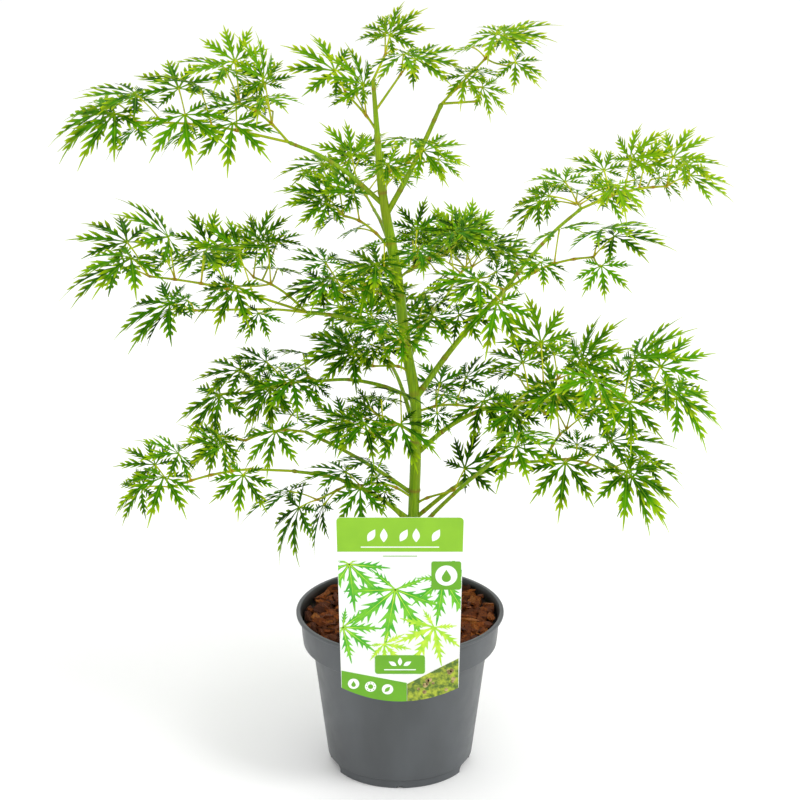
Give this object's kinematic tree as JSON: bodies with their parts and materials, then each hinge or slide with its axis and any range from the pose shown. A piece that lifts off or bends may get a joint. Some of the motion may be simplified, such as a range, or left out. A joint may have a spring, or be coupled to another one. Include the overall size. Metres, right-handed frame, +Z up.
{
  "type": "potted japanese maple",
  "caption": "Young laceleaf Japanese maple with a thin green trunk and open tiers of fine cut leaves, in a dark grey nursery pot with a picture label hooked on its rim.",
  "frame": {"origin": "centre of the pot's flat underside", "axes": "+X to the right as seen from the label's side, +Y to the back, away from the label, +Z up the trunk"},
  "size_m": [0.6117, 0.3736, 0.7028],
  "materials": {
    "pot_plastic": "dark grey moulded polypropylene, satin, with faint ribs left by the mould",
    "bark_chips": "rough damp rust-brown bark chips with dark gaps between them",
    "label_print": "printed plastic card, semi-gloss, lime green header over a leaf picture",
    "green_bark": "smooth young green bark with fine lengthwise lines and brown rings at the joints",
    "leaf": "thin soft leaves, satin, mid green to yellow green with pale ribs"
  },
  "bodies": {
    "root": {"pot": "pot_plastic", "potting_mix": "bark_chips", "label_card": "label_print", "trunk": "green_bark", "bough_left_top": "green_bark", "bough_right_leader": "green_bark", "bough_right_upper": "green_bark", "bough_right_upper_back": "green_bark", "bough_right_middle": "green_bark", "bough_right_low": "green_bark", "bough_right_low_front": "green_bark", "bough_left_middle": "green_bark", "bough_left_lower": "green_bark", "bough_left_rising": "green_bark", "bough_left_low": "green_bark", "bough_front_left_low": "green_bark", "bough_back_low": "green_bark", "bough_back_middle": "green_bark", "bough_back_upper": "green_bark", "spray_left_top_outer": "leaf", "spray_left_top_back": "leaf", "spray_left_high": "leaf", "spray_top": "leaf", "spray_top_left": "leaf", "spray_top_front": "leaf", "spray_right_leader_tip": "leaf", "spray_right_leader_side": "leaf", "spray_right_high": "leaf", "spray_right_upper_outer": "leaf", "spray_right_upper_back": "leaf", "spray_right_upper_front": "leaf", "spray_right_upper_near": "leaf", "spray_right_inner": "leaf", "spray_right_middle_outer": "leaf", "spray_right_middle_back": "leaf", "spray_right_middle_front": "leaf", "spray_right_centre": "leaf", "spray_right_near": "leaf", "spray_right_low_outer": "leaf", "spray_right_low_back": "leaf", "spray_right_low_front": "leaf", "spray_right_foot": "leaf", "spray_left_middle_outer": "leaf", "spray_left_middle_back": "leaf", "spray_left_middle_front": "leaf", "spray_left_centre": "leaf", "spray_left_near": "leaf", "spray_left_foot": "leaf", "spray_left_lower_outer": "leaf", "spray_left_lower_front": "leaf", "spray_left_rising": "leaf", "spray_left_low_outer": "leaf", "spray_front_left_low": "leaf", "spray_back_low": "leaf", "spray_back_middle": "leaf", "spray_back_upper": "leaf", "spray_front_low": "leaf", "spray_front_middle": "leaf", "spray_front_upper": "leaf"}
  },
  "joints": []
}
